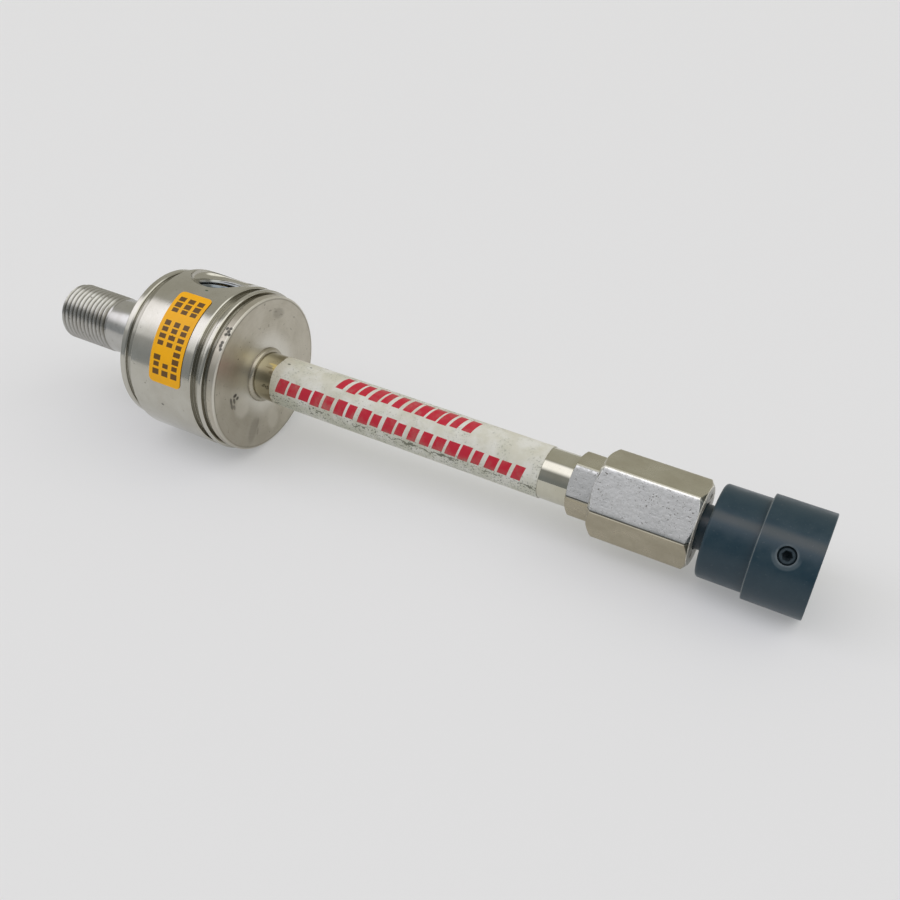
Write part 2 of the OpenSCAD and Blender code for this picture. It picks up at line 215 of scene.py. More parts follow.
def skin(name, sheets, material, body, *stands_for, sharp=38, uv=None):
    """Joins sheets of points into one welded mesh in its place on the table. A sheet is rows of points with a flag that
    says whether its rows close on themselves; neighbours in the grid make the quads."""
    points, faces, start = [], [], 0
    for grid, closed in sheets:
        rows, columns = grid.shape[:2]
        index = np.arange(rows * columns).reshape(rows, columns) + start
        if closed:
            index = np.hstack([index, index[:, :1]])
        corners = [index[:-1, :-1], index[:-1, 1:], index[1:, 1:], index[1:, :-1]]
        faces.append(np.stack(corners, -1).reshape(-1, 4))
        points.append(laid(grid).reshape(-1, 3))
        start += rows * columns
    mesh = bpy.data.meshes.new(name)
    mesh.from_pydata(np.vstack(points).tolist(), [], np.vstack(faces).tolist())
    if uv is not None:
        corner = np.empty(len(mesh.loops), np.int32)
        mesh.loops.foreach_get("vertex_index", corner)
        mesh.uv_layers.new(name="print").data.foreach_set("uv", uv[corner].ravel())
    work = bmesh.new()
    work.from_mesh(mesh)
    bmesh.ops.remove_doubles(work, verts=work.verts, dist=2e-6)
    bmesh.ops.recalc_face_normals(work, faces=work.faces)
    work.to_mesh(mesh)
    work.free()
    mesh.shade_smooth()
    mesh.set_sharp_from_angle(angle=np.radians(sharp))
    mesh.materials.append(material)
    piece = bpy.data.objects.new(name, mesh)
    bpy.context.scene.collection.objects.link(piece)
    if stands_for:
        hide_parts(*stands_for)
    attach(piece, body)
    return piece


def border(half_u, half_v, count_u, count_v):
    """Points round the edge of a rectangle centred on zero, in order, with both corners of each side."""
    u, v = np.linspace(-half_u, half_u, count_u), np.linspace(-half_v, half_v, count_v)
    right = np.stack([np.full(count_v - 1, half_u), v[:-1]], -1)
    top = np.stack([u[:0:-1], np.full(count_u - 1, half_v)], -1)
    return np.vstack([right, top, -right, -top])


def pierced(edge, rim, rows):
    """A flat patch between a hole's rim and the edge of a rectangle, by straight lines from rim to edge."""
    t = (np.linspace(0, 1, rows) ** 1.3)[:, None, None]
    return (1 - t) * rim + t * edge


# Materials of turned steel share these groups: place along the axis, lathe marks, pits and smudges.
def group(name, inputs, outputs):
    """A new shader node group with named float inputs (name, default) and outputs (name, socket type)."""
    made = bpy.data.node_groups.new(name, "ShaderNodeTree")
    for label, value in inputs:
        made.interface.new_socket(label, in_out="INPUT", socket_type="NodeSocketFloat").default_value = value
    for label, kind in outputs:
        made.interface.new_socket(label, in_out="OUTPUT", socket_type=kind)
    return made, made.nodes.new("NodeGroupInput").outputs, made.nodes.new("NodeGroupOutput").inputs


def use(tree, made, **values):
    """Places a node group in a material, with its own values."""
    return place(tree, "ShaderNodeGroup", {"node_tree": made}, values).outputs


axis_place, given, out = group(
    "place along the axis", [], [("Place", "NodeSocketVector"), ("Radius", "NodeSocketFloat")]
)
turned_back = place(
    axis_place,
    "ShaderNodeMapping",
    {"vector_type": "TEXTURE"},
    {
        "Vector": place(axis_place, "ShaderNodeTexCoord").outputs["Object"],
        "Location": tuple(LAID_AT / 1000),
        "Rotation": (ROLL, TILT, 0.0),
        "Scale": (0.001, 0.001, 0.001),
    },
).outputs[0]
off_axis = place(axis_place, "ShaderNodeVectorMath", {"operation": "MULTIPLY"}, {0: turned_back, 1: (0, 1, 1)})
axis_place.links.new(turned_back, out["Place"])
axis_place.links.new(measure(axis_place, "LENGTH", off_axis.outputs[0]), out["Radius"])


def noise(tree, where, scale, detail, roughness=0.5):
    """The value of a noise texture."""
    sockets = {"Vector": where, "Scale": scale, "Detail": detail, "Roughness": roughness}
    return place(tree, "ShaderNodeTexNoise", {}, sockets).outputs["Fac"]


lathe_marks, given, out = group(
    "lathe marks", [("Marks per mm", 6.0), ("Drift", 0.12)], [("Streak", "NodeSocketFloat")]
)
here = use(lathe_marks, axis_place)
xyz = split(lathe_marks, here["Place"])
across = maths(lathe_marks, "MULTIPLY_ADD", here["Radius"], 0.83, xyz["X"])
fine = [times(lathe_marks, across, given["Marks per mm"])]
fine += [times(lathe_marks, xyz[axis], given["Drift"]) for axis in "YZ"]
fine = place(lathe_marks, "ShaderNodeCombineXYZ", {}, dict(enumerate(fine))).outputs[0]
lathe_marks.links.new(noise(lathe_marks, fine, 1.0, 3.0, 0.6), out["Streak"])

pits, given, out = group(
    "pits", [("Size mm", 0.4), ("Cover", 0.3), ("Softness", 0.06)], [("Mask", "NodeSocketFloat")]
)
grain = noise(pits, use(pits, axis_place)["Place"], maths(pits, "DIVIDE", 0.5, given["Size mm"]), 2.0, 0.55)
low, high = (maths(pits, sign, given["Cover"], given["Softness"]) for sign in ("SUBTRACT", "ADD"))
pits.links.new(maths(pits, "SUBTRACT", 1.0, rise(pits, grain, low, high)), out["Mask"])

smudges, given, out = group("smudges", [("Size mm", 8.0), ("Middle", 0.5)], [("Mask", "NodeSocketFloat")])
size = maths(smudges, "DIVIDE", 1.0, given["Size mm"])
cloud = noise(smudges, use(smudges, axis_place)["Place"], size, 4.0, 0.62)
low, high = (maths(smudges, sign, given["Middle"], 0.18) for sign in ("SUBTRACT", "ADD"))
smudges.links.new(rise(smudges, cloud, low, high), out["Mask"])


def clouds(tree, size, middle=0.5):
    """A mask of soft smudges about so many mm across; a higher middle leaves fewer."""
    return use(tree, smudges, **{"Size mm": size, "Middle": middle})["Mask"]


def specks(tree, size, cover, soft=0.06):
    """A mask of pits about so many mm across; a higher cover makes more."""
    return use(tree, pits, **{"Size mm": size, "Cover": cover, "Softness": soft})["Mask"]


def spot(tree, where, x, r, angle, half_x, half_r, half_turn):
    """A soft mark on a turned surface: 1 inside an ellipsoid round station x, radius r and an angle in degrees."""
    turn = np.radians(angle)
    settings = {"Vector": where, "Location": around(x, r, turn).tolist(), "Rotation": (turn, 0, 0)}
    settings["Scale"] = (half_x, half_turn, half_r)
    near = place(tree, "ShaderNodeMapping", {"vector_type": "TEXTURE"}, settings).outputs[0]
    return rise(tree, measure(tree, "LENGTH", near), 1.15, 0.6)


def between(tree, value, low, high):
    """1 where a value lies between two limits, 0 elsewhere."""
    return times(tree, maths(tree, "GREATER_THAN", value, low), maths(tree, "LESS_THAN", value, high))


def roughen(tree, shader, strength, distance, level):
    """Lets a height field, so many metres deep, tilt a shader's normal."""
    relief = place(tree, "ShaderNodeBump", {}, {"Strength": strength, "Distance": distance, "Height": level})
    wire(tree, shader, {"Normal": relief.outputs[0]})


def turned_steel(name, clean, stained, marks, rough, streak_height, pit_size, pit_cover, rings=(), spots=()):
    """Turned stainless: lathe marks in roughness and height, faint stains in colour, small dark pits. A ring (from x,
    to x, radius where it starts, radius where it is full, colour, strength) tints a groove, thread root or face, and
    some rings are painted highlights; spots (colour, strength, list of places for spot) are marks left by use, and
    some are painted shade and painted highlights."""
    material, tree, shader = finish(name)
    here = use(tree, axis_place)
    along = split(tree, here["Place"])["X"]
    streaks = use(tree, lathe_marks, **{"Marks per mm": marks})["Streak"]
    stains, dots = clouds(tree, 9.0, 0.52), specks(tree, pit_size, pit_cover)
    tone = blend(tree, times(tree, stains, 0.8), clean, stained)
    tone = blend(tree, times(tree, streaks, 0.35), tone, tuple(c * 0.72 for c in clean))
    tone = blend(tree, times(tree, dots, 0.7), tone, (0.10, 0.09, 0.08))
    for from_x, to_x, from_r, to_r, colour, strength in rings:
        mask = rise(tree, here["Radius"], from_r, to_r, strength)
        tone = blend(tree, times(tree, mask, between(tree, along, from_x, to_x)), tone, colour)
    for colour, strength, places in spots:
        for at in places:
            tone = blend(tree, times(tree, spot(tree, here["Place"], *at), strength), tone, colour)
    grit = maths(tree, "MULTIPLY_ADD", streaks, rough * 1.1, rough)
    grit = maths(tree, "MULTIPLY_ADD", stains, 0.03, grit)
    wire(tree, shader, {"Base Color": tone, "Metallic": 1.0, "Roughness": grit})
    roughen(tree, shader, streak_height, 0.00004, maths(tree, "SUBTRACT", streaks, times(tree, dots, 1.5)))
    return material


BODY_R, BODY_LEN, BAND, SHOULDER, SHOULDER_EDGE, EDGE = 21.6, 24.3, 20.5, 1.2, 0.4, 0.3
GROOVE_W, GROOVE_DEEP, COLD_RELIEF_R = 2.1, 1.3, 19.7
RING_END, RIM_FLOOR = 23.9, 20.2
SOCKET_R, SOCKET_LEN, CHAMBER_R, CHAMBER_HALF = 14.0, 4.2, 11.5, 6.25
INLET_X, INLET_R, SPOT_R, SPOT_FLOOR, SPOT_LIP = 10.5, 5.85, 8.1, 19.5, 0.2
HOLE_Z, BOWL, INLET_END, INLET_DEEP, PITCH = 19.4, 2.1, 11.6, 0.45, 1.411
PATCH, SPAN, PATCH_COUNTS = 8.6, np.radians(52), (41, 49)
# Two dark tones: one for small marks, nicks and a corner line, one for rings in grooves, thread roots and at a face's
# edge.
DARK_MARK, DARK_RING = (0.07, 0.068, 0.058), (0.17, 0.16, 0.125)
body_steel = turned_steel(
    "turned body steel",
    clean=(0.55, 0.535, 0.475),
    stained=(0.47, 0.45, 0.385),
    marks=7.0,
    rough=0.08,
    streak_height=0.22,
    pit_size=0.35,
    pit_cover=0.27,
    rings=[(20.3, 24.6, 21.25, 20.5, DARK_RING, 0.4), (-1.6, 1.4, 20.5, 19.8, DARK_RING, 0.4)],
    spots=[
        ((0.05, 0.12, 0.05), 0.8, [(13.1, BODY_R, 25.5, 0.55, 0.5, 0.28)]),
        (DARK_MARK, 0.7, [(10.8, BODY_R, 117.3, 0.45, 0.5, 0.4), (6.2, BODY_R, 104.0, 0.2, 0.5, 0.2)]),
        # Painted shade darkens the inside of the inlet.
        ((0.13, 0.16, 0.19), 1.0, [(INLET_X, 17.2, 0.0, 8.0, 4.2, 8.0)]),
    ],
)


def bored(edge, hole_x, facing, steps):
    """The wall of a hole across the axis. Each step is (radius, height) for every direction round the hole."""
    bearing = np.arctan2(edge[:, 1], edge[:, 0])
    rows = []
    for r, h in steps:
        u, v = r * np.cos(bearing), r * np.sin(bearing)
        h = np.broadcast_to(h, bearing.shape)
        turn = facing + np.arctan2(v, h)
        rows.append(around(hole_x + u, np.hypot(v, h), turn))
    return np.stack(rows)


def drum(radius_mm, hole_x, hole_r, half, span, facing, count_x, count_turn):
    """A cylinder wall with a round hole: a pierced patch round the hole and the rest of the turn beside it.
    Returns the two sheets, the patch's edge and the angles that a lathe joins on with."""
    edge = border(half, span, count_x, count_turn)
    bearing = np.arctan2(edge[:, 1] * radius_mm, edge[:, 0])
    rim = np.stack([hole_r * np.cos(bearing), np.arcsin(hole_r * np.sin(bearing) / radius_mm)], -1)
    patch = pierced(edge, rim, 14)
    near = around(hole_x + patch[..., 0], radius_mm, facing + patch[..., 1])
    stations = hole_x + np.linspace(-half, half, count_x)
    turn = np.linspace(span, 2 * np.pi - span, 4 * count_turn)
    far = around(stations[:, None], radius_mm, facing + turn[None, :])
    angles = facing + np.concatenate([np.linspace(-span, span, count_turn), turn[1:-1]])
    return [(near, True), (far, False)], np.stack([edge[:, 0], edge[:, 1] * radius_mm], -1), angles


outside, inlet_edge, turns = drum(BODY_R, INLET_X, SPOT_R + SPOT_LIP, PATCH, SPAN, 0.0, *PATCH_COUNTS)
inside = drum(CHAMBER_R, INLET_X, INLET_R, CHAMBER_HALF, SPAN, 0.0, *PATCH_COUNTS)[0]
bearing = np.arctan2(inlet_edge[:, 1], inlet_edge[:, 0])


def surface_height(r, radius_mm):
    """Height of a cylinder's wall above the axis, over a circle of radius r round the hole."""
    return np.sqrt(radius_mm**2 - (r * np.sin(bearing)) ** 2)


thread_z = np.linspace(HOLE_Z - 0.1, INLET_END, 80)
ridge = np.abs((thread_z[:, None] / PITCH + bearing[None, :] / (2 * np.pi)) % 1 - 0.5) * 2
start_in = np.clip((HOLE_Z - 0.1 - thread_z) / 1.2, 0, 1)[:, None]
ridge = INLET_R - INLET_DEEP * np.clip(ridge * 1.3 - 0.15, 0, 1) * start_in
top = surface_height(SPOT_R, BODY_R) - 0.06
inlet_steps = [
    (SPOT_R + SPOT_LIP, surface_height(SPOT_R + SPOT_LIP, BODY_R)),
    (SPOT_R + 0.06, surface_height(SPOT_R, BODY_R) - 0.02),
]
for quarter in np.linspace(0, np.pi / 2, 14):
    bowl_z = SPOT_FLOOR + (top - SPOT_FLOOR) * (1 - np.sin(quarter))
    inlet_steps.append((SPOT_R - BOWL * (1 - np.cos(quarter)), bowl_z))
inlet_steps += [(INLET_R + 0.05, HOLE_Z)]
inlet_steps += list(zip(ridge, thread_z))
inlet_steps += [(INLET_R, surface_height(INLET_R, CHAMBER_R))]
cold_side = eased(
    [
        (INLET_X - PATCH, BODY_R),
        (SHOULDER + SHOULDER_EDGE, BODY_R),
        (SHOULDER, BODY_R - SHOULDER_EDGE),
        (SHOULDER, COLD_RELIEF_R),
        (0, COLD_RELIEF_R),
        (0, SOCKET_R),
        (SOCKET_LEN, SOCKET_R),
        (SOCKET_LEN, CHAMBER_R),
        (INLET_X - CHAMBER_HALF, CHAMBER_R),
    ],
    ease=0.12,
)
hot_side = eased(
    [
        (INLET_X + PATCH, BODY_R),
        (BAND - EDGE, BODY_R),
        (BAND, BODY_R - EDGE),
        (BAND, BODY_R - GROOVE_DEEP),
        (BAND + GROOVE_W, BODY_R - GROOVE_DEEP),
        (BAND + GROOVE_W, BODY_R - EDGE),
        (BAND + GROOVE_W + EDGE, BODY_R),
        (RING_END - EDGE, BODY_R),
        (RING_END, BODY_R - EDGE),
        (RING_END, RIM_FLOOR),
        (BODY_LEN, RIM_FLOOR),
        (BODY_LEN, SOCKET_R),
        (BODY_LEN - SOCKET_LEN, SOCKET_R),
        (BODY_LEN - SOCKET_LEN, CHAMBER_R),
        (INLET_X + CHAMBER_HALF, CHAMBER_R),
    ],
    ease=0.12,
)
skin(
    "body_shell",
    outside
    + inside
    + [
        (lathe(cold_side, turns), True),
        (lathe(hot_side, turns), True),
        (bored(inlet_edge, INLET_X, 0.0, inlet_steps), True),
    ],
    body_steel,
    "housing",
    "body",
)

# The label on the body.
# A printed vinyl label with round corners is stuck round the front of the band, and its edges stand a little proud.
# It is a yellow field with three rows of plain dark blocks.
LABEL_X, LABEL_HALF, LABEL_FROM, LABEL_SWEEP = 12.7, 4.9, np.radians(33), np.radians(67)
LABEL_CORNER, LABEL_TOP, LABEL_FOOT = 1.3, 0.15, 0.03
BLOCK_HALF, BLOCK_PITCH = 1.08, 1.8
half_sides = np.array([LABEL_HALF, BODY_R * LABEL_SWEEP / 2])
label_edge = border(*half_sides, 25, 61)
inner = np.clip(label_edge, LABEL_CORNER - half_sides, half_sides - LABEL_CORNER)
reach = label_edge - inner
reach = reach / np.maximum(np.linalg.norm(reach, axis=1, keepdims=True), 1e-9)
rounded = inner + reach * LABEL_CORNER
label_plan = rounded[None] * np.linspace(0.02, 1, 20)[:, None, None]


def stuck(plan, above):
    """Flat points of the label laid round the front of the body, at a height above the steel."""
    turn = LABEL_FROM + LABEL_SWEEP / 2 + plan[..., 1] / BODY_R
    return around(LABEL_X + plan[..., 0], BODY_R + above, turn)


label_vinyl, tree, shader = finish("yellow label vinyl")
plan = split(tree, place(tree, "ShaderNodeUVMap", {"uv_map": "print"}).outputs[0])
tone = blend(tree, times(tree, clouds(tree, 5.0, 0.55), 0.5), (0.92, 0.44, 0.003), (0.80, 0.40, 0.010))


def block_rows(tree, along, across, rows, slant):
    """A mask of plain printed blocks. Each row (centre, half height, start, end, pitch) is cut into cells one pitch
    long, and a random number for each cell sets how wide and how tall its block is."""
    total = None
    for centre, half, start, end, pitch in rows:
        offset = maths(tree, "SUBTRACT", across, centre)
        cell = maths(tree, "DIVIDE", maths(tree, "MULTIPLY_ADD", offset, slant, along), pitch)
        number = maths(tree, "FLOOR", cell)
        chance = place(tree, "ShaderNodeTexWhiteNoise", {"noise_dimensions": "1D"}, {"W": number}).outputs["Value"]
        tall = maths(tree, "MULTIPLY_ADD", chance, half * 0.22, half * 0.78)
        wide = maths(tree, "MULTIPLY_ADD", maths(tree, "FRACT", times(tree, chance, 7.0)), 0.22, 0.64)
        mask = times(
            tree,
            maths(tree, "LESS_THAN", maths(tree, "ABSOLUTE", offset), tall),
            maths(tree, "LESS_THAN", maths(tree, "FRACT", cell), wide),
            between(tree, number, start / pitch - 0.5, end / pitch - 0.5),
        )
        total = mask if total is None else maths(tree, "MAXIMUM", total, mask)
    return total


label_runs = (
    (2.85, [(-10.8, -5.4), (-4.5, 10.8)]),
    (0.0, [(-10.8, -4.5), (-3.6, 4.5), (6.3, 10.8)]),
    (-2.85, [(-10.8, -5.4), (-3.6, 3.6), (5.4, 10.8)]),
)
label_rows = [(centre, BLOCK_HALF, *run, BLOCK_PITCH) for centre, runs in label_runs for run in runs]
ink = block_rows(tree, plan["Y"], plan["X"], label_rows, 0.0)
tone = blend(tree, times(tree, ink, 0.9), tone, (0.05, 0.03, 0.02))
wire(tree, shader, {"Base Color": tone, "Roughness": 0.38, "Specular IOR Level": 0.25})
label_piece = skin(
    "body_label_vinyl",
    [(stuck(label_plan, LABEL_TOP), True), (stuck(rounded[None], LABEL_FOOT), True)],
    label_vinyl,
    "housing",
    "body_label",
    uv=np.vstack([label_plan.reshape(-1, 2), rounded]),
)

# The cold cap and its nipple.
# A turned cap with a thin rim closes the body's cold end; the nipple is pressed into it and threaded at its outer end.
# The cap is the same satin stainless as the body, and the thread's flanks are a little darker.
COLD_RIM_R, COLD_RIM_X, COLD_GAP, COLD_ROUND = 20.4, -3.4, 1.35, 0.5
PLUG_R, COLD_PLUG_X, NIPPLE_SEAT_R = 13.95, 4.1, 7.65
cap_profile = eased(
    [
        (COLD_RIM_X, NIPPLE_SEAT_R),
        (COLD_RIM_X, COLD_RIM_R - COLD_ROUND),
        (COLD_RIM_X + COLD_ROUND, COLD_RIM_R),
        (-COLD_GAP - EDGE, COLD_RIM_R),
        (-COLD_GAP, COLD_RIM_R - EDGE),
        (-COLD_GAP, COLD_RELIEF_R),
        (0.0, COLD_RELIEF_R),
        (0.0, PLUG_R),
        (COLD_PLUG_X, PLUG_R),
        (COLD_PLUG_X, NIPPLE_SEAT_R),
        (COLD_RIM_X, NIPPLE_SEAT_R),
    ],
    ease=0.12,
)
skin("cold_cap_turned", [(lathe(cap_profile, full_turn(192)), True)], body_steel, "housing", "cold_cap")

THREAD_R, THREAD_DEEP, THREAD_LEAD = 7.8, 0.8, 1.15
NIPPLE_X, NECK_X, NECK_MID, NECK_R, COLD_BORE, MOUTH = -37.5, -20.4, -12.0, 7.6, 4.3, 0.5
thread_x = np.linspace(NIPPLE_X, NECK_X, 300)[:, None]
nipple_turn = full_turn(144)
wave = np.abs(((thread_x - NIPPLE_X) / PITCH - nipple_turn / (2 * np.pi)) % 1 - 0.5) * 2
crest = THREAD_R - THREAD_DEEP * np.clip(1.16 * wave - 0.08, 0, 1)
run_out = np.clip((NECK_X - thread_x) / (0.9 * PITCH), 0, 1)
crest = NECK_R + (crest - NECK_R) * run_out
crest = np.minimum(crest, THREAD_R - THREAD_LEAD + (thread_x - NIPPLE_X) * 0.9)
neck_profile = eased(
    [(NECK_X, NECK_R), (NECK_MID, NECK_R), (COLD_PLUG_X, NECK_R), (COLD_PLUG_X, COLD_BORE)],
    ease=0.1,
)
mouth_profile = eased(
    [
        (COLD_PLUG_X, COLD_BORE),
        (NIPPLE_X + MOUTH, COLD_BORE),
        (NIPPLE_X, COLD_BORE + MOUTH),
        (NIPPLE_X, THREAD_R - THREAD_LEAD),
    ],
    ease=0.1,
)
thread_steel = turned_steel(
    "threaded steel",
    clean=(0.53, 0.525, 0.50),
    stained=(0.43, 0.415, 0.38),
    marks=5.0,
    rough=0.14,
    streak_height=0.2,
    pit_size=0.5,
    pit_cover=0.30,
    rings=[(-37.4, NECK_X, 7.65, 7.1, DARK_RING, 0.75)],
)
skin(
    "cold_nipple_threaded",
    [
        (around(thread_x, crest, nipple_turn), True),
        (lathe(neck_profile, nipple_turn), True),
        (lathe(mouth_profile, nipple_turn), True),
    ],
    thread_steel,
    "housing",
    "cold_nipple",
    sharp=50,
)

# The hot cap.
# A turned cap with a broad rim and a flat face that the hot tube leaves by; wrench jaws have nicked its rim.
# Its face carries punched dents and scuffs; its lower part is painted darker, as shade, and painted highlights lie
# round the tube, on two patches and along its bevel.
RIM_R, RIM_X, FACE_X, FACE_R, BEVEL_X, BEVEL_R = 20.9, 24.8, 27.2, 19.0, 0.28, 0.5
NOSE_X, NOSE_R, HOT_PLUG_X, TUBE_SEAT_R = 11.7, 9.0, 20.2, 6.4
FACE_ROWS, CAP_TURNS = 80, 600
cap_outline = eased(
    [
        (NOSE_X, TUBE_SEAT_R),
        (NOSE_X, NOSE_R),
        (HOT_PLUG_X, NOSE_R),
        (HOT_PLUG_X, PLUG_R),
        (BODY_LEN, PLUG_R),
        (BODY_LEN, RIM_FLOOR),
        (RIM_X, RIM_FLOOR),
        (RIM_X, RIM_R - EDGE),
        (RIM_X + EDGE, RIM_R),
        (FACE_X - BEVEL_X, RIM_R),
        (FACE_X, RIM_R - BEVEL_R),
        (FACE_X, FACE_R),
    ],
    ease=0.14,
)
face_r = np.linspace(FACE_R, TUBE_SEAT_R, FACE_ROWS)
cap_face = np.stack([np.full(FACE_ROWS, FACE_X), face_r], -1)
cap_rows = np.vstack([cap_outline, cap_face, cap_outline[:1]])
cap_turn = full_turn(CAP_TURNS)
cap_x, cap_r = (np.repeat(cap_rows[:, [column]], CAP_TURNS, 1) for column in (0, 1))


def dented(x, r, angle, marks):
    """Sinks dents into a turned surface. Each mark is (station, radius, angle in degrees, width along, width across,
    width round, depth along the axis, depth towards the axis); depth falls off as a bell curve."""
    for mark_x, mark_r, mark_angle, wide_x, wide_r, wide_turn, deep_x, deep_r in marks:
        away = (angle - np.radians(mark_angle) + np.pi) % (2 * np.pi) - np.pi
        bell = np.exp(
            -(((x - mark_x) / wide_x) ** 2) - ((r - mark_r) / wide_r) ** 2 - (away * mark_r / wide_turn) ** 2
        )
        x = x - bell * deep_x
        r = r - bell * deep_r
    return x, r


rim_nicks = [
    (nick_x, RIM_R, angle, wide_x, 0.8, width, 0.0, depth)
    for nick_x, angle, wide_x, width, depth in (
        (25.6, 48.9, 0.25, 0.25, 0.20),
        (26.5, 48.2, 0.30, 0.18, 0.30),
        (26.4, 50.7, 0.35, 0.25, 0.35),
        (26.1, 53.2, 0.30, 0.25, 0.30),
        (26.9, 52.7, 0.25, 0.20, 0.25),
        (26.25, 59.4, 0.35, 0.18, 0.25),
        (26.2, 61.8, 0.35, 0.35, 0.35),
        (26.5, 64.4, 0.25, 0.25, 0.25),
        (26.1, 214.0, 0.5, 0.5, 0.25),
        (26.1, 301.0, 0.5, 0.4, 0.25),
    )
]
face_dings = [
    (FACE_X, radius_mm, angle, 0.8, long_r, long_turn, depth, 0.0)
    for radius_mm, angle, long_r, long_turn, depth in (
        (14.3, 112.0, 0.28, 0.90, 0.14),
        (14.4, 118.0, 0.28, 0.80, 0.14),
        (13.2, 114.0, 0.26, 0.70, 0.12),
        (13.7, 121.5, 0.26, 0.60, 0.14),
        (12.6, 108.0, 0.60, 0.24, 0.12),
        (11.9, 113.5, 0.40, 0.22, 0.12),
        (13.5, 176.0, 1.60, 0.30, 0.10),
        (16.0, 178.0, 1.20, 0.25, 0.08),
        (16.3, 347.5, 0.22, 0.60, 0.07),
        (16.9, 356.5, 0.25, 0.50, 0.07),
        (17.4, 4.5, 0.25, 0.50, 0.07),
    )
]
cap_x, cap_r = dented(cap_x, cap_r, cap_turn[None, :], rim_nicks + face_dings)
cap_steel = turned_steel(
    "turned cap steel",
    clean=(0.55, 0.515, 0.435),
    stained=(0.42, 0.385, 0.31),
    marks=5.0,
    rough=0.25,
    streak_height=0.3,
    pit_size=0.45,
    pit_cover=0.29,
    rings=[
        (23.5, RIM_X + 0.05, 20.8, 20.3, DARK_RING, 0.4),
        # A painted highlight lightens the face round the tube.
        (FACE_X - 0.1, FACE_X + 0.2, 13.5, 8.0, (0.80, 0.78, 0.72), 0.6),
        (FACE_X - 0.4, FACE_X + 0.2, 19.95, 20.15, DARK_RING, 0.45),
        # A painted highlight runs round the face's bevel.
        (FACE_X - 0.4, FACE_X + 0.2, 20.35, 20.5, (0.66, 0.635, 0.56), 0.9),
    ],
    spots=[
        (DARK_MARK, 0.9, [(nick[0], RIM_R, nick[2], nick[3] + 0.2, 0.6, nick[5] + 0.3) for nick in rim_nicks]),
        (DARK_MARK, 0.95, [(FACE_X, ding[1], ding[2], 0.5, ding[4] + 0.2, ding[5] + 0.3) for ding in face_dings[:6]]),
        (DARK_MARK, 0.35, [(FACE_X, ding[1], ding[2], 0.5, ding[4], ding[5] + 0.2) for ding in face_dings[6:]]),
        # Painted shade darkens the lower part of the face.
        ((0.33, 0.30, 0.24), 0.5, [(FACE_X, 16.0, 146.0, 0.6, 8.0, 13.0)]),
        ((0.27, 0.25, 0.205), 0.5, [(FACE_X, 15.5, 170.0, 0.6, 4.0, 1.8), (FACE_X, 16.5, 352.0, 0.6, 1.6, 2.6)]),
        # Two painted highlights lie on the face, standing in for its streaked reflections.
        ((0.72, 0.69, 0.61), 0.4, [(FACE_X, 14.5, 203.0, 0.6, 3.6, 2.6), (FACE_X, 11.5, 132.0, 0.6, 3.0, 3.4)]),
    ],
)
skin(
    "hot_cap_turned",
    [(around(cap_x, cap_r, cap_turn[None, :]), True)],
    cap_steel,
    "housing",
    "hot_cap",
)

# The hot tube and its bead.
# A drawn stainless tube runs through the hot cap and is brazed there, which leaves a small round bead.
# It shows bare and bright for a short way at both ends.
TUBE_R, TUBE_BORE, TUBE_FROM, TUBE_MID, TUBE_TO = 6.35, 5.2, 11.7, 60.0, 121.6
tube_profile = eased(
    [
        (TUBE_FROM, TUBE_BORE),
        (TUBE_FROM, TUBE_R),
        (TUBE_MID, TUBE_R),
        (TUBE_TO, TUBE_R),
        (TUBE_TO, TUBE_BORE),
        (TUBE_FROM, TUBE_BORE),
    ],
    ease=0.15,
)
tube_steel = turned_steel(
    "drawn tube steel",
    clean=(0.60, 0.585, 0.49),
    stained=(0.52, 0.50, 0.40),
    marks=3.0,
    rough=0.03,
    streak_height=0.05,
    pit_size=0.4,
    pit_cover=0.25,
    rings=[(FACE_X, 34.0, 5.6, 6.2, (0.34, 0.29, 0.17), 0.55)],
    spots=[
        ((0.72, 0.60, 0.28), 0.8, [(33.2, TUBE_R, 48.0, 1.1, 1.0, 0.9), (32.2, TUBE_R, 42.0, 1.4, 1.0, 0.35)]),
        ((0.16, 0.13, 0.08), 0.6, [(31.8, TUBE_R, 52.0, 1.5, 1.0, 0.22), (32.6, TUBE_R, 62.0, 0.8, 1.0, 0.5)]),
    ],
)
skin("hot_tube_drawn", [(lathe(tube_profile, full_turn(160)), True)], tube_steel, "housing", "hot_tube")
BEAD_X, BEAD_R = FACE_X + 0.05, TUBE_R + 0.05
bead_profile = [(BEAD_X, BEAD_R)]
bead_profile += [(BEAD_X + np.sin(a), BEAD_R + np.cos(a)) for a in np.linspace(0, np.pi / 2, 9)]
bead_steel = turned_steel(
    "braze bead",
    clean=(0.47, 0.44, 0.36),
    stained=(0.36, 0.32, 0.24),
    marks=2.0,
    rough=0.18,
    streak_height=0.2,
    pit_size=0.4,
    pit_cover=0.30,
)
skin(
    "tube_bead_brazed",
    [(lathe(bead_profile + bead_profile[:1], full_turn(160)), True)],
    bead_steel,
    "housing",
    "tube_bead",
)

# The wrap on the hot tube.
# A white vinyl sheet is wound once round the tube; heat and handling have yellowed it, scuffed it and torn one end.
# It carries two rows of plain red blocks.
WRAP_FROM, WRAP_TO, WRAP_R = 33.3, 109.3, 6.52
wrap_turn = full_turn(180)
wrap_u = np.linspace(0, 1, 240)[:, None]
torn = 0.45 * np.sin(3 * wrap_turn + 1.0) * np.exp(-(((wrap_turn - 0.5) / 0.6) ** 2))
wrap_start = WRAP_FROM + 0.12 * np.sin(2 * wrap_turn) + torn
wrap_end = WRAP_TO + 0.10 * np.sin(wrap_turn + 1.1)
wrap_x = wrap_start[None, :] * (1 - wrap_u) + wrap_end[None, :] * wrap_u
wrap_out = around(wrap_x, WRAP_R, wrap_turn[None, :])
wrap_lips = [around(wrap_x[[row]], WRAP_R - 0.14, wrap_turn[None, :]) for row in (0, -1)]
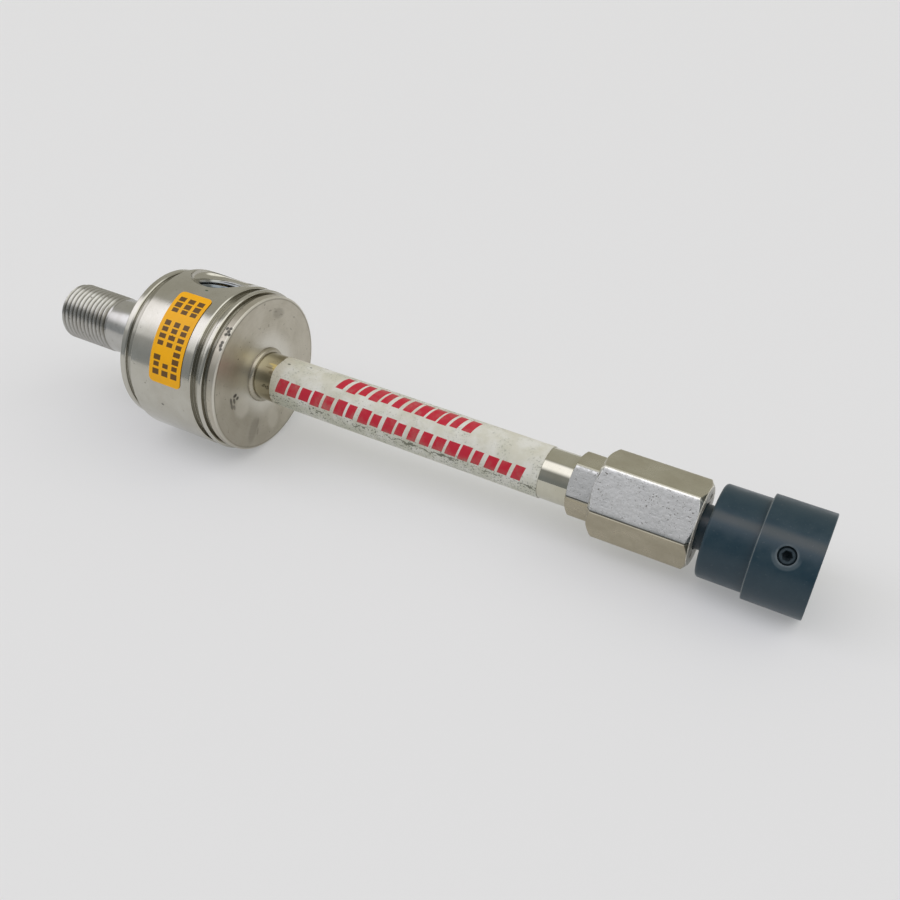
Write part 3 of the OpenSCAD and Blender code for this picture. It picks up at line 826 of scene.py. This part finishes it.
wrap_sheet = np.concatenate([wrap_lips[0], wrap_out, wrap_lips[1]])


def turn_of(tree, xyz):
    """The angle of a place round the axis, in degrees from the inlet towards the front."""
    turn = maths(tree, "ARCTAN2", times(tree, xyz["Y"], -1.0), xyz["Z"])
    return times(tree, turn, 180 / np.pi)


wrap_vinyl, tree, shader = finish("white wrap vinyl")
here = use(tree, axis_place)
xyz = split(tree, here["Place"])
arc = times(tree, turn_of(tree, xyz), np.radians(WRAP_R))
stain, patches = clouds(tree, 6.0), clouds(tree, 4.0, 0.58)
tone = blend(tree, stain, (0.72, 0.715, 0.65), (0.61, 0.595, 0.485))
tone = blend(tree, rise(tree, xyz["X"], 38.0, 34.0, 0.5), tone, (0.47, 0.42, 0.29))
sloped = maths(tree, "MULTIPLY_ADD", xyz["X"], -0.012, arc)
upper_row = block_rows(tree, xyz["X"], arc, [(2.85, 2.7, 51.0, 90.0, 3.25)], 0.25)
lower_row = block_rows(tree, xyz["X"], sloped, [(9.2, 2.1, 35.0, 106.0, 3.55)], 0.25)
ink = maths(tree, "MAXIMUM", upper_row, lower_row)
tone = blend(tree, times(tree, ink, 0.97), tone, (0.51, 0.004, 0.028))
# Dirt gathers along the top and the lower front, and the sheet has flaked along two wavering lines.
waver = maths(tree, "MULTIPLY_ADD", noise(tree, here["Place"], 0.6, 4.0), 3.0, arc)
flakes = times(tree, between(tree, waver, 14.35, 14.75), maths(tree, "GREATER_THAN", patches, 0.25))
creases = times(tree, between(tree, waver, 0.2, 0.5), maths(tree, "GREATER_THAN", patches, 0.5))
dirty = times(
    tree,
    rise(tree, arc, 2.0, 0.0),
    rise(tree, arc, -7.0, -3.0),
    rise(tree, xyz["X"], 42.0, 58.0),
    rise(tree, xyz["X"], 98.0, 84.0),
)
dirty = maths(tree, "MAXIMUM", dirty, times(tree, rise(tree, arc, 10.5, 13.0), rise(tree, arc, 19.0, 16.0)))
dirty = maths(tree, "MAXIMUM", dirty, times(tree, patches, 0.7))
tone = blend(tree, times(tree, dirty, stain, 0.45), tone, (0.42, 0.45, 0.36))
soil = times(tree, specks(tree, 0.22, 0.39, 0.05), dirty)
soil = maths(tree, "MAXIMUM", maths(tree, "MAXIMUM", soil, flakes), creases)
for x, angle, size in (
    (36.0, 27.3, 0.5),
    (41.7, 14.1, 0.4),
    (46.9, 108.6, 0.35),
    (46.1, 129.1, 0.5),
    (47.8, 118.7, 0.5),
    (34.6, 138.0, 0.6),
    (35.5, 133.8, 0.4),
    (51.4, 113.1, 0.35),
):
    soil = maths(tree, "MAXIMUM", soil, spot(tree, here["Place"], x, WRAP_R, angle, size, 1.0, size * 0.6))
tone = blend(tree, times(tree, soil, 0.85), tone, (0.12, 0.125, 0.085))
wire(tree, shader, {"Base Color": tone, "Roughness": 0.45, "Specular IOR Level": 0.16})
roughen(tree, shader, 0.4, 0.0001, maths(tree, "SUBTRACT", 1.0, soil))
wrap_piece = skin("tube_wrap_vinyl", [(wrap_sheet, True)], wrap_vinyl, "housing", "tube_label")

# The tube fitting and the valve body.
# Both are cut from drawn stainless hexagon bar with turned chamfers; the small one is brazed to the tube.
# The large one holds the valve chamber, and its end is drilled for the exhaust round the knob's neck.


def hex_radius(angle, across_flats, phase, crown):
    """Distance from the axis to a hexagon's side at an angle, with its corners softly limited to the crown radius."""
    corner_off = (angle - np.radians(phase)) % (np.pi / 3) - np.pi / 6
    side = across_flats / 2 / np.cos(corner_off)
    return -np.log(np.exp(-12 * side) + np.exp(-12 * crown)) / 12


def hex_turn(phase, per_side):
    """Angles round a hexagon, closer together towards its corners."""
    half = np.sin(np.linspace(-1, 1, per_side, endpoint=False) * np.pi / 2) * np.pi / 6
    middle = np.radians(phase) + np.pi / 6 + np.arange(6) * np.pi / 3
    return (middle[:, None] + half[None, :]).reshape(-1)


def hex_bar(across_flats, start, end, phase, chamfer_start, chamfer_end, chamfer=1.1):
    """A hexagon carried along the axis, cut down at its ends by a cone that reaches the flats at the end face."""
    crown = across_flats / np.sqrt(3) - 0.18
    slope = crown - across_flats / 2 + 0.12
    turn = hex_turn(phase, 36)
    ends = np.concatenate([np.linspace(0, 1.4, 26), np.linspace(1.6, 2.6, 4)]) * chamfer
    stations = np.concatenate([start + ends, end - ends[::-1]])
    from_start = (stations - start) / chamfer * slope + (crown + 0.02 - slope)
    from_end = (end - stations) / chamfer * slope + (crown + 0.02 - slope)
    limit = np.full_like(stations, 99.0)
    limit = np.minimum(limit, from_start if chamfer_start else 99.0)
    limit = np.minimum(limit, from_end if chamfer_end else 99.0)
    side = hex_radius(turn, across_flats, phase, crown)
    r = np.minimum(side[None, :], limit[:, None])
    return around(stations[:, None], r, turn[None, :]), turn


FITTING_X, FITTING_AF, FITTING_PHASE = 116.8, 14.0, 41.0
VALVE_X, VALVE_END, VALVE_AF, VALVE_PHASE = 123.2, 147.5, 19.0, 38.3
hex_steel, tree, shader = finish("drawn hexagon steel")
stains, mottle, patches = clouds(tree, 7.0), clouds(tree, 1.1), clouds(tree, 5.0)
here = use(tree, axis_place)
xyz = split(tree, here["Place"])
turn = turn_of(tree, xyz)
drawn = place(tree, "ShaderNodeMapping", {}, {"Vector": here["Place"], "Scale": (0.25, 5.0, 5.0)})
lines = noise(tree, drawn.outputs[0], 1.0, 3.0, 0.6)
# One flat is scoured grey and pitted; the others keep an olive tarnish, and the flat below the scoured one is painted
# darker still, as shade.
scoured = between(tree, turn, 39.0, 97.6)
tone = blend(tree, stains, (0.55, 0.525, 0.42), (0.47, 0.44, 0.335))
below = blend(tree, stains, (0.44, 0.395, 0.29), (0.37, 0.33, 0.235))
tone = blend(tree, between(tree, turn, 97.6, 158.0), tone, below)
tone = blend(tree, times(tree, lines, 0.25), tone, (0.40, 0.375, 0.30))
grey = blend(tree, times(tree, mottle, 0.7), (0.63, 0.635, 0.615), (0.48, 0.485, 0.465))
tone = blend(tree, scoured, tone, grey)
pitted = times(tree, scoured, maths(tree, "MULTIPLY_ADD", patches, 0.75, 0.15))
pitted = times(tree, specks(tree, 0.24, 0.36, 0.03), maths(tree, "MAXIMUM", pitted, 0.12))
tone = blend(tree, pitted, tone, (0.10, 0.09, 0.075))
# Its lower corner has a dark line with a painted highlight below it, its upper corner has a painted highlight, and the
# end face is pale.
for low, high, strength, colour in (
    (96.7, 98.6, 0.8, DARK_MARK),
    (98.6, 100.2, 0.5, (0.78, 0.74, 0.62)),
    (36.6, 40.4, 0.8, (0.97, 0.95, 0.86)),
):
    tone = blend(tree, times(tree, between(tree, turn, low, high), strength), tone, colour)
end = maths(tree, "GREATER_THAN", xyz["X"], VALVE_END - 0.15)
tone = blend(tree, times(tree, end, maths(tree, "MULTIPLY_ADD", mottle, 0.5, 0.5)), tone, (0.88, 0.84, 0.73))
grit = maths(tree, "MULTIPLY_ADD", lines, 0.18, 0.18)
grit = maths(tree, "MULTIPLY_ADD", times(tree, scoured, mottle), 0.14, grit)
grit = maths(tree, "MULTIPLY_ADD", stains, 0.08, grit)
wire(tree, shader, {"Base Color": tone, "Metallic": maths(tree, "MULTIPLY_ADD", end, -0.9, 1.0), "Roughness": grit})
level = maths(tree, "SUBTRACT", times(tree, lines, 0.6), times(tree, pitted, 1.2))
level = maths(tree, "MULTIPLY_ADD", times(tree, scoured, mottle), 0.8, level)
roughen(tree, shader, 0.35, 0.00005, level)

SPIGOT_R, SPIGOT_BORE, SPIGOT_END, RELIEF_R, MEET = 7.95, 4.6, 130.0, 6.8, 0.05
fitting_side, fitting_turn = hex_bar(FITTING_AF, FITTING_X, VALVE_X - MEET, FITTING_PHASE, True, False, 0.5)
fitting_front = [fitting_side[0]]
fitting_front += [around(x, TUBE_SEAT_R, fitting_turn) for x in (FITTING_X, TUBE_TO)]
fitting_back = [fitting_side[-1]]
for x, r in (
    (VALVE_X - MEET, RELIEF_R),
    (VALVE_X + MEET, RELIEF_R),
    (VALVE_X + MEET, SPIGOT_R),
    (SPIGOT_END, SPIGOT_R),
    (SPIGOT_END, SPIGOT_BORE),
    (TUBE_TO, SPIGOT_BORE),
    (TUBE_TO, TUBE_SEAT_R),
):
    fitting_back.append(around(x, r, fitting_turn))
skin(
    "tube_fitting_hexagon",
    [(fitting_side, True), (np.stack(fitting_front), True), (np.stack(fitting_back), True)],
    hex_steel,
    "housing",
    "tube_fitting",
    sharp=30,
)

VENT_R, VENT_AT, VENT_HALF, RECESS_R, RECESS_X, WEB_X = 0.9, 6.85, 1.2, 5.65, 143.5, 140.5
STEM_R, VALVE_BORE = 3.05, 8.0
valve_side, valve_turn = hex_bar(VALVE_AF, VALVE_X, VALVE_END, VALVE_PHASE, True, True)
vent_edge = border(VENT_HALF, np.pi / 6, 9, 25)
vent_bearing = np.arctan2(vent_edge[:, 1] * VENT_AT, vent_edge[:, 0])
vent_rim = np.stack([VENT_R * np.cos(vent_bearing), VENT_R * np.sin(vent_bearing) / VENT_AT], -1)
vent_patch = pierced(vent_edge, vent_rim, 6)
vent_sheets = []
for vent in range(6):
    centre = np.radians(VALVE_PHASE + 60 * vent)
    face = around(VALVE_END, VENT_AT + vent_patch[..., 0], centre + vent_patch[..., 1])
    wall = np.stack([face[0], face[0] - [VALVE_END - WEB_X, 0, 0]])
    vent_sheets += [(face, True), (wall, True)]
end_turn = np.radians(VALVE_PHASE) + np.concatenate(
    [np.linspace(-np.pi / 6, np.pi / 6, 25)[:-1] + np.pi / 3 * k for k in range(6)]
)
end_ring = np.stack([around(VALVE_END, VENT_AT + VENT_HALF, valve_turn), valve_side[-1]])
recess_profile = [
    (VALVE_END, VENT_AT - VENT_HALF),
    (RECESS_X, RECESS_R),
    (RECESS_X, STEM_R),
    (WEB_X, STEM_R),
    (WEB_X, VALVE_BORE),
    (VALVE_X, VALVE_BORE),
]
valve_front = np.stack([valve_side[0], around(VALVE_X, VALVE_BORE, valve_turn)])
valve_sheets = [valve_side, valve_front, end_ring, lathe(recess_profile, end_turn)]
skin(
    "valve_body_hexagon",
    [(sheet, True) for sheet in valve_sheets] + vent_sheets,
    hex_steel,
    "housing",
    "valve_body",
    sharp=30,
)

# The knob and its set screw.
# A moulded black knob of two diameters is held to the stem by a set screw with a hexagon socket.
# The rim of the screw's hole has worn pale, and the edges are slightly polished by hands.
KNOB_X, GRIP_X, KNOB_END, GRIP_R, FRONT_R, FRONT_ROUND = 149.9, 160.8, 174.6, 12.35, 11.1, 0.8
GRIP_HALF, GRIP_SPAN, HUB_X, HUB_R, STEM_END, END_MID = 6.3, np.radians(40), 146.0, 5.35, 171.05, 6.0
SCREW_X, SCREW_TURN, HOLE_R, HOLE_LIP, HOLE_FLOOR = 167.6, np.radians(70), 2.05, 0.15, 3.2
knob_plastic, tree, shader = finish("black knob plastic")
haze = clouds(tree, 4.0)
tone = blend(tree, haze, (0.006, 0.029, 0.045), (0.013, 0.037, 0.052))
tone = blend(tree, times(tree, specks(tree, 0.3, 0.30, 0.05), 0.25), tone, (0.10, 0.12, 0.13))
here = use(tree, axis_place)
xyz = split(tree, here["Place"])
turn = turn_of(tree, xyz)
off_screw = measure(tree, "DISTANCE", here["Place"], tuple(around(SCREW_X, GRIP_R, SCREW_TURN).tolist()))
worn = times(tree, rise(tree, off_screw, 2.7, 2.15), maths(tree, "MULTIPLY_ADD", haze, 0.6, 0.3))
tone = blend(tree, times(tree, worn, 0.45), tone, (0.24, 0.27, 0.28))
# A dusty band of painted sheen lies along the top of the knob, where its highlight falls, and the step's edge has worn
# to a thin pale line.
rubbed = times(tree, rise(tree, off_screw, 3.4, 2.9), rise(tree, turn, 67.0, 76.0))
tone = blend(tree, times(tree, rubbed, 0.3), tone, (0.17, 0.20, 0.21))
dust_and_sheen = times(tree, rise(tree, turn, 43.0, 51.0), rise(tree, turn, 62.0, 53.0))
tone = blend(tree, times(tree, dust_and_sheen, 0.32), tone, (0.105, 0.10, 0.08))
edge = times(tree, between(tree, xyz["X"], GRIP_X - 0.1, GRIP_X + 0.28), rise(tree, here["Radius"], 12.0, 12.2))
edge = times(tree, edge, maths(tree, "MULTIPLY_ADD", haze, 0.3, 0.4))
tone = blend(tree, edge, tone, (0.17, 0.19, 0.19))
grit = maths(tree, "MULTIPLY_ADD", haze, 0.12, 0.30)
wire(tree, shader, {"Base Color": tone, "Roughness": grit, "Specular IOR Level": 0.48})
roughen(tree, shader, 0.12, 0.00005, noise(tree, here["Place"], 3.5, 2.0))

grip, screw_edge, grip_turn = drum(GRIP_R, SCREW_X, HOLE_R + HOLE_LIP, GRIP_HALF, GRIP_SPAN, SCREW_TURN, 25, 33)
bearing = np.arctan2(screw_edge[:, 1], screw_edge[:, 0])
hole_steps = [
    (HOLE_R + HOLE_LIP, surface_height(HOLE_R + HOLE_LIP, GRIP_R)),
    (HOLE_R + 0.03, surface_height(HOLE_R, GRIP_R) - 0.06),
    (HOLE_R, surface_height(HOLE_R, GRIP_R) - 0.2),
    (HOLE_R, HOLE_FLOOR),
]
knob_front = eased(
    [
        (GRIP_X + 0.5, GRIP_R),
        (GRIP_X, GRIP_R),
        (GRIP_X, FRONT_R),
        (KNOB_X, FRONT_R),
        (KNOB_X, HUB_R),
        (HUB_X, HUB_R),
        (HUB_X, STEM_R),
        (STEM_END, STEM_R),
        (STEM_END, 0.0),
    ],
    ease=0.35,
    steps=7,
)
# The front edge is rounder than the others: its eased rows give way to a quarter circle.
front_edge = (np.abs(knob_front[:, 0] - KNOB_X) < 0.6) & (knob_front[:, 1] > 9.0)
round_angle = np.linspace(0, np.pi / 2, 12)
round_x = KNOB_X + FRONT_ROUND * (1 - np.sin(round_angle))
round_r = FRONT_R - FRONT_ROUND * (1 - np.cos(round_angle))
first = np.argmax(front_edge)
rounding = np.stack([round_x, round_r], -1)
knob_front = np.vstack([knob_front[:first], rounding, knob_front[~front_edge][first:]])
knob_front[0] = (SCREW_X - GRIP_HALF, GRIP_R)
knob_back = eased(
    [(SCREW_X + GRIP_HALF, GRIP_R), (KNOB_END, GRIP_R), (KNOB_END, END_MID), (KNOB_END, 0.0)],
    ease=0.45,
    steps=7,
)
skin(
    "knob_moulded",
    grip
    + [
        (bored(screw_edge, SCREW_X, SCREW_TURN, hole_steps), True),
        (lathe(knob_front, grip_turn), True),
        (lathe(knob_back, grip_turn), True),
    ],
    knob_plastic,
    "valve",
    "knob",
)

SCREW_R, SCREW_TOP, SCREW_FOOT, SCREW_EDGE = 2.0, 11.45, 3.1, 0.35
SOCKET_AF, SOCKET_EDGE, SOCKET_DEEP, SOCKET_TIP = 2.0, 0.12, 2.2, 2.7
socket_turn = hex_turn(0.0, 12)
socket = SOCKET_AF / 2 / np.cos(socket_turn % (np.pi / 3) - np.pi / 6)
screw_rows = [
    (SCREW_R, SCREW_FOOT),
    (SCREW_R, SCREW_TOP - SCREW_EDGE),
    (SCREW_R - SCREW_EDGE, SCREW_TOP),
    (socket + SOCKET_EDGE, SCREW_TOP),
    (socket, SCREW_TOP - SOCKET_EDGE),
    (socket, SCREW_TOP - SOCKET_DEEP),
    (socket * 0.01, SCREW_TOP - SOCKET_TIP),
]
screw_points = []
for r, h in screw_rows:
    r = np.broadcast_to(r, socket_turn.shape)
    u, v = r * np.cos(socket_turn), r * np.sin(socket_turn)
    screw_points.append(around(SCREW_X + u, np.hypot(v, h), SCREW_TURN + np.arctan2(v, h)))
screw_steel, tree, shader = finish("blackened screw steel")
haze = clouds(tree, 1.2)
tone = blend(tree, haze, (0.020, 0.037, 0.047), (0.035, 0.055, 0.066))
grit = maths(tree, "MULTIPLY_ADD", haze, 0.2, 0.35)
wire(tree, shader, {"Base Color": tone, "Metallic": 0.3, "Roughness": grit})
skin("set_screw_socket", [(np.stack(screw_points), True)], screw_steel, "valve", "knob_set_screw")

# The pieces inside.
# Brass nozzle ring, orifice disc, vanes and seat, rubber seals and a steel stem; only the stem and the nozzle ring can
# be glimpsed from outside, so their turned solids are kept and given their own finishes.
brass, tree, shader = finish("turned brass")
streaks = use(tree, lathe_marks, **{"Marks per mm": 5.0})["Streak"]
tone = blend(tree, streaks, (0.72, 0.52, 0.24), (0.58, 0.40, 0.17))
grit = maths(tree, "MULTIPLY_ADD", streaks, 0.2, 0.22)
wire(tree, shader, {"Base Color": tone, "Metallic": 1.0, "Roughness": grit})
seal_rubber, tree, shader = finish("seal rubber")
tone = blend(tree, clouds(tree, 2.0, 0.55), (0.018, 0.018, 0.018), (0.045, 0.044, 0.042))
wire(tree, shader, {"Base Color": tone, "Roughness": 0.6})
for name, material in (
    ("orifice_disc", brass),
    ("vortex_generator", brass),
    ("spin_stopper", brass),
    ("valve_seat", brass),
    ("valve_stem", thread_steel),
    ("cold_cap_o_ring", seal_rubber),
    ("generator_o_ring", seal_rubber),
    ("hot_cap_o_ring", seal_rubber),
    ("stem_o_ring", seal_rubber),
):
    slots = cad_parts[name].data.materials
    slots.clear()
    slots.append(material)
